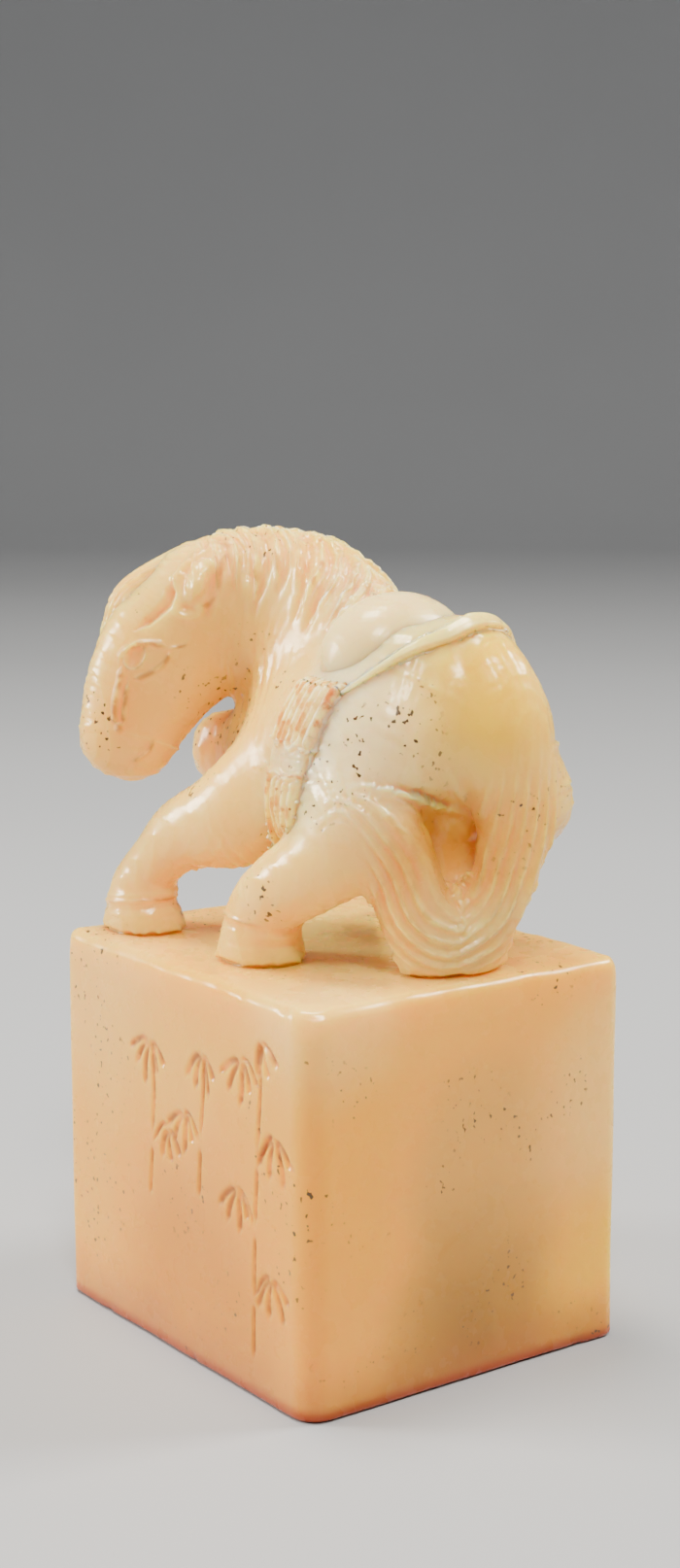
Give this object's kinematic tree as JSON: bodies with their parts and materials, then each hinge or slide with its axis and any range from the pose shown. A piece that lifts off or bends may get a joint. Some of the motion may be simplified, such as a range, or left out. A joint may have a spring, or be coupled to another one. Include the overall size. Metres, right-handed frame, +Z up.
{
  "type": "seal stamp",
  "caption": "Upright soapstone name seal with a saddled, crouching horse carved on top and a flower in relief on its face.",
  "frame": {"origin": "middle of the seal face, the flat carved face under the block", "axes": "+Z up through the block to the horse, horse's head towards -X, its left flank towards -Y"},
  "size_m": [0.0381, 0.033, 0.0695],
  "materials": {
    "soapstone": "polished translucent",
    "soapstone_pale": "polished translucent, paler",
    "soapstone_carved": "finely grooved, with red residue in the grooves"
  },
  "bodies": {
    "root": {"seal_block": "soapstone", "horse_trunk": "soapstone_pale", "horse_neck": "soapstone", "horse_head": "soapstone", "left_ear": "soapstone", "right_ear": "soapstone", "mane": "soapstone_carved", "forelock": "soapstone_carved", "left_foreleg": "soapstone", "right_foreleg": "soapstone", "left_hind_leg": "soapstone_pale", "right_hind_leg": "soapstone_pale", "left_fore_hoof": "soapstone", "left_hind_hoof": "soapstone", "right_fore_hoof": "soapstone", "right_hind_hoof": "soapstone", "tail": "soapstone_carved", "saddle_seat": "soapstone_pale", "saddle_cloth": "soapstone_pale", "girth_strap": "soapstone_carved"}
  },
  "joints": []
}
